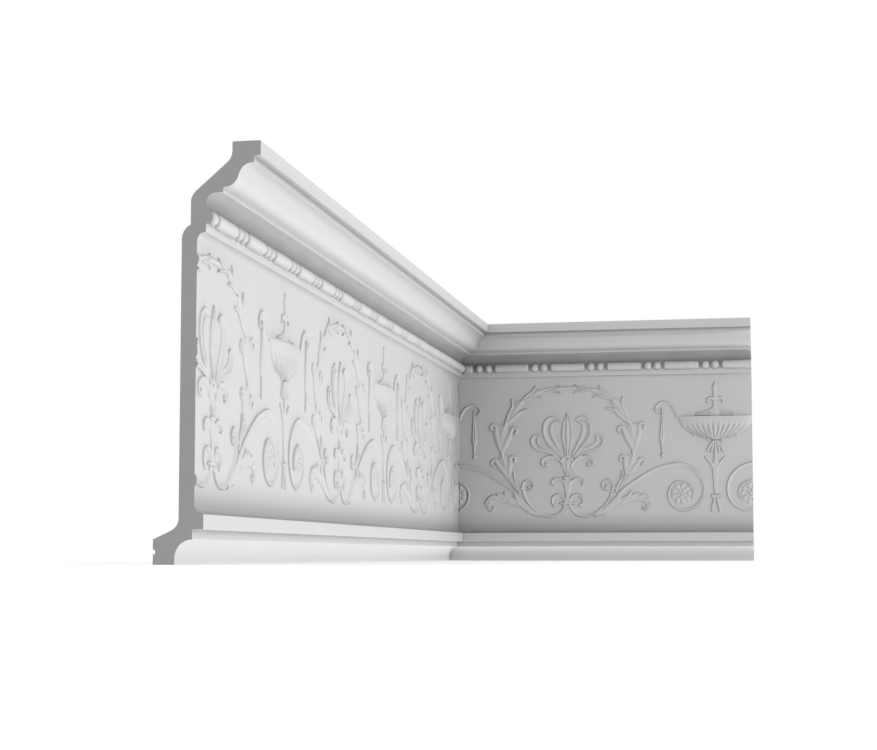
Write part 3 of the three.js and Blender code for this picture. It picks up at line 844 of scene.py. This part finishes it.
def length_object(name, tile, run, corner_at_end, phase, to_frame):
    """A finished length in its place: surfaces joined, ends sawn, sharp edges marked."""
    mesh = joined_mesh(name, mesh_parts(tile, run, phase))
    shape = bmesh.new()
    shape.from_mesh(mesh)
    bmesh.ops.remove_doubles(shape, verts=shape.verts[:], dist=SLIVER)
    set_back = MITRE_GAP / 2 * 2**0.5
    towards_corner = 1 if corner_at_end else -1
    square = 0 if corner_at_end else run
    mitre = run - set_back if corner_at_end else set_back
    cut_end(shape, Vector((square, 0, 0)), Vector((-towards_corner, 0, 0)), SAWN)
    cut_end(shape, Vector((mitre, 0, 0)), Vector((towards_corner, 1, 0)).normalized(), CAST)
    bmesh.ops.transform(shape, matrix=to_frame, verts=shape.verts[:])
    bmesh.ops.recalc_face_normals(shape, faces=shape.faces[:])
    shape.to_mesh(mesh)
    shape.free()
    mesh.polygons.foreach_set("use_smooth", [True] * len(mesh.polygons))
    mesh.set_sharp_from_angle(angle=SHARP_ANGLE)
    mesh.update()
    obj = bpy.data.objects.new(name, mesh)
    even = obj.modifiers.new("even ground", "WEIGHTED_NORMAL")
    even.mode = "FACE_AREA"
    even.weight = 100
    even.keep_sharp = True
    bpy.context.scene.collection.objects.link(obj)
    return obj


def frame_matrix(along, outward, corner):
    """Turns millimetres along the wall, out from it and up into the shared frame, in metres."""
    return Matrix((
        (along[0] * MM, outward[0] * MM, 0, corner[0] * MM),
        (along[1] * MM, outward[1] * MM, 0, corner[1] * MM),
        (0, 0, MM, 0),
        (0, 0, 0, 1),
    ))


class Socket:
    """A node's output that can be added, multiplied and so on."""

    def __init__(self, sketch, output):
        self.sketch = sketch
        self.output = output

    def __add__(self, other):
        return self.sketch.maths("ADD", self, other)

    def __radd__(self, other):
        return self.sketch.maths("ADD", other, self)

    def __sub__(self, other):
        return self.sketch.maths("SUBTRACT", self, other)

    def __rsub__(self, other):
        return self.sketch.maths("SUBTRACT", other, self)

    def __mul__(self, other):
        return self.sketch.maths("MULTIPLY", self, other)

    def __rmul__(self, other):
        return self.sketch.maths("MULTIPLY", other, self)

    def __pow__(self, other):
        return self.sketch.maths("POWER", self, other)


class Sketch:
    """A node tree under construction: nodes by type, settings and socket values, and sums by maths."""

    def __init__(self, owner, shader):
        owner.use_nodes = True
        self.owner = owner
        self.tree = owner.node_tree
        self.shader = self.tree.nodes[shader]

    def put(self, target, value):
        """Links a socket to a node's input, or sets the input to a plain value."""
        if isinstance(value, Socket):
            self.tree.links.new(value.output, target)
        else:
            target.default_value = value

    def node(self, kind, settings, values, output=0):
        """A new node of a type, with its settings first and then the values or links of its inputs."""
        made = self.tree.nodes.new(kind)
        for key, value in settings.items():
            setattr(made, key, value)
        for key, value in values.items():
            self.put(made.inputs[key], value)
        return Socket(self, made.outputs[output])

    def maths(self, operation, a, b):
        """One operation on two numbers."""
        return self.node("ShaderNodeMath", {"operation": operation}, {0: a, 1: b})

    def place(self):
        """Object coordinates."""
        return self.node("ShaderNodeTexCoord", {}, {}, "Object")

    def noise(self, scale, detail=2.0):
        """Soft noise from 0 to 1 on object coordinates."""
        values = {"Vector": self.place(), "Scale": scale, "Detail": detail}
        return self.node("ShaderNodeTexNoise", {}, values, "Fac")

    def mixed(self, factor, first, second):
        """A colour between two by a factor, on the Mix node's colour sockets: inputs 6 and 7, output 2."""
        values = {0: factor, 6: (*first, 1), 7: (*second, 1)}
        return self.node("ShaderNodeMix", {"data_type": "RGBA"}, values, 2)

    def bump(self, height, strength, distance):
        """A normal that leans with a height."""
        values = {"Height": height, "Strength": strength, "Distance": distance}
        return self.node("ShaderNodeBump", {}, values)

    def finish(self, **values):
        """Sets or links the shader's inputs, with underscores for spaces, and gives back its owner."""
        for key, value in values.items():
            self.put(self.shader.inputs[key.replace("_", " ")], value)
        return self.owner


def material(name):
    """A new material to be sketched."""
    return Sketch(bpy.data.materials.new(name), "Principled BSDF")


def primer():
    """Matt white primer: faintly cloudy, with painted shade darkening it in creases and hollows, and an
    eggshell grain.
    """
    paint = material("primer")
    cloud = paint.noise(9.0, 3.0)
    grain = paint.noise(900.0, 2.0)
    painted_shade = paint.node("ShaderNodeAttribute", {"attribute_name": "painted_shade"}, {}, "Fac")
    # Painted shade: the colour falls towards the dark grey where the shade attribute is full; the cloud
    # adds only a faint random tone
    cloud_tone_and_painted_shade = (0.97 + 0.03 * cloud) * (1 - painted_shade)
    return paint.finish(
        Base_Color=paint.mixed(cloud_tone_and_painted_shade, (0.3, 0.299, 0.298), (0.82, 0.818, 0.816)),
        Roughness=0.5 + 0.12 * grain,
        Normal=paint.bump(grain, 0.12, 0.0002),
    )


def moulded_back():
    """Bare skin of the cast back: a little yellower and blotchier than the primer."""
    skin = material("moulded_back")
    blotch = skin.noise(30.0, 4.0)
    grain = skin.noise(500.0, 2.0)
    return skin.finish(
        Base_Color=skin.mixed(blotch, (0.74, 0.735, 0.715), (0.82, 0.815, 0.80)),
        Roughness=0.62 + 0.15 * grain,
        Normal=skin.bump(blotch * 0.6 + grain * 0.4, 0.25, 0.0006),
    )


def sawn_foam():
    """Sawn foam: fine closed cells, dull and greyer than the primed face."""
    foam = material("sawn_foam")
    cells = foam.node("ShaderNodeTexVoronoi", {}, {"Vector": foam.place(), "Scale": 1400.0}, "Distance")
    cloud = foam.noise(60.0, 3.0)
    return foam.finish(
        Base_Color=foam.mixed(cells * 0.7 + cloud * 0.3, (0.385, 0.385, 0.39), (0.47, 0.47, 0.47)),
        Roughness=0.8 + 0.1 * cloud,
        Normal=foam.bump(cells, 0.3, 0.0003),
    )


def floor():
    """Wide pale studio floor that lets the light from underneath through."""
    mesh = bpy.data.meshes.new("floor")
    corners = FLOOR_REACH * np.array([(-1, -1, 0), (1, -1, 0), (1, 1, 0), (-1, 1, 0)])
    mesh.from_pydata(corners.tolist(), [], [(0, 1, 2, 3)])
    plane = bpy.data.objects.new("floor", mesh)
    plane.visible_diffuse = False
    plane.visible_shadow = False
    bpy.context.scene.collection.objects.link(plane)
    paint = material("floor")
    tone = paint.noise(3.0, 2.0)
    mesh.materials.append(paint.finish(
        Base_Color=paint.mixed(tone, (0.86, 0.86, 0.86), (0.88, 0.88, 0.88)),
        Roughness=0.8 + 0.1 * tone,
        Emission_Color=(1, 1, 1, 1),
        Emission_Strength=FLOOR_GLOW,
    ))


def camera():
    """Camera where the picture was taken from, level across and with its frame raised above the axis."""
    data = bpy.data.cameras.new("camera")
    data.sensor_fit = "HORIZONTAL"
    data.sensor_width = SENSOR_WIDTH
    data.lens = FOCAL_PIXELS / IMAGE_WIDTH * SENSOR_WIDTH
    data.shift_y = (AXIS_ROW - IMAGE_HEIGHT / 2) / IMAGE_WIDTH
    data.clip_start, data.clip_end = CLIP_RANGE
    view = bpy.data.objects.new("camera", data)
    bpy.context.scene.collection.objects.link(view)
    view.location = (
        (CAMERA_PLACE[0] - PLAN_CENTRE[0]) * MM,
        (CAMERA_PLACE[1] - PLAN_CENTRE[1]) * MM,
        CAMERA_PLACE[2] * MM,
    )
    ahead = Vector((
        np.sin(CAMERA_YAW) * np.cos(CAMERA_PITCH),
        np.cos(CAMERA_YAW) * np.cos(CAMERA_PITCH),
        np.sin(CAMERA_PITCH),
    ))
    view.rotation_euler = ahead.to_track_quat("-Z", "Y").to_euler()
    bpy.context.scene.camera = view


def soft_light(air, way, azimuth, height, strength):
    """Glow round one direction: the cosine of the angle from it, nothing behind, raised to the focus."""
    turn, rise = np.radians((azimuth, height))
    middle = (np.cos(turn) * np.cos(rise), np.sin(turn) * np.cos(rise), np.sin(rise))
    cosine = air.node("ShaderNodeVectorMath", {"operation": "DOT_PRODUCT"}, {0: way, 1: middle}, "Value")
    return strength * air.maths("MAXIMUM", cosine, 0.0) ** LIGHT_FOCUS


def lighting():
    """White to the eye all round, but shining on the object from a few wide soft lights."""
    scene = bpy.context.scene
    scene.view_settings.view_transform = "Standard"
    scene.cycles.diffuse_bounces = 0
    scene.world = bpy.data.worlds.new("studio")
    air = Sketch(scene.world, "Background")
    way = air.node("ShaderNodeTexCoord", {}, {}, "Generated")
    glow = AMBIENT
    lights = (FACING_SHORT, FACING_LONG, ABOVE_LONG, PAST_CORNER, UNDERNEATH, UNDER_CORNER, BEHIND)
    for light in lights:
        glow = glow + soft_light(air, way, *light)
    seen = air.node("ShaderNodeLightPath", {}, {}, "Is Camera Ray")
    air.finish(Color=(1, 1, 1, 1), Strength=seen + (1 - seen) * glow)


def build():
    """Both lengths with their finishes, in place of the plain solids."""
    tile = frieze_tile()
    long_place = frame_matrix((0, 1), (1, 0), (-PLAN_CENTRE[0], -PLAN_CENTRE[1]))
    short_place = frame_matrix((1, 0), (0, -1), (-PLAN_CENTRE[0], PLAN_CENTRE[1]))
    lengths = [
        (length_object("long_cornice", tile, LONG_RUN, True, LONG_PHASE, long_place), "long_length"),
        (length_object("short_cornice", tile, SHORT_RUN, False, SHORT_PHASE, short_place), "short_length"),
    ]
    finishes = [primer(), moulded_back(), sawn_foam()]
    for obj, node in lengths:
        for finish in finishes:
            obj.data.materials.append(finish)
        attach(obj, "root")
        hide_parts(node)


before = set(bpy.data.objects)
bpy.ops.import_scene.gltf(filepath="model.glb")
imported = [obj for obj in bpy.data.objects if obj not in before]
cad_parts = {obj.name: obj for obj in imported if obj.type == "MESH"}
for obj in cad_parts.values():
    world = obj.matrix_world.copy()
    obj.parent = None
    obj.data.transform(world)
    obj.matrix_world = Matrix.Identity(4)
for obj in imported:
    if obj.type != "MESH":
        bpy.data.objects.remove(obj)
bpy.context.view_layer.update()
build()
floor()
camera()
lighting()
